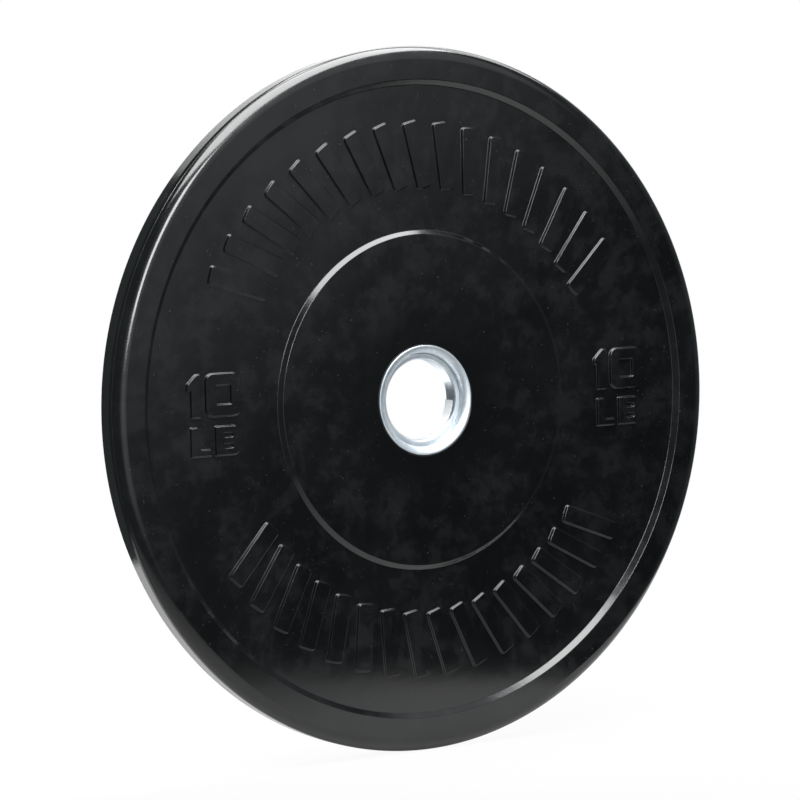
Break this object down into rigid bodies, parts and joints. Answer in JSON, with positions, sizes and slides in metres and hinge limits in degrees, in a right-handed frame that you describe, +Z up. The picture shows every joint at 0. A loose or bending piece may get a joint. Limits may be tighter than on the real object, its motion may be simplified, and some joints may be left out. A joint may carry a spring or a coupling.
{
  "type": "bumper plate",
  "caption": "Round black rubber weight plate with a stepped rim, raised weight marks, slanted grip bars and a flared steel hub for a barbell sleeve.",
  "frame": {"origin": "centre of the bore, half way through the plate's thickness", "axes": "+Y along the bore's axis towards the back face, so the front face looks along -Y; +Z up, so that the weight marks stand upright; +X to the right as seen from the front"},
  "size_m": [0.45, 0.022, 0.45],
  "materials": {
    "rubber": "moulded black rubber, semi-gloss, faintly clouded",
    "hub_steel": "turned and bright zinc plated, faint turning rings",
    "flange_steel": "bare pressed steel, hidden in the rubber",
    "label": "plain white film label, matt"
  },
  "bodies": {
    "root": {"rubber_body": "rubber", "hub_sleeve": "hub_steel", "front_collar": "hub_steel", "rear_collar": "hub_steel", "anchor_flange": "flange_steel", "bore_label": "label"}
  },
  "joints": []
}
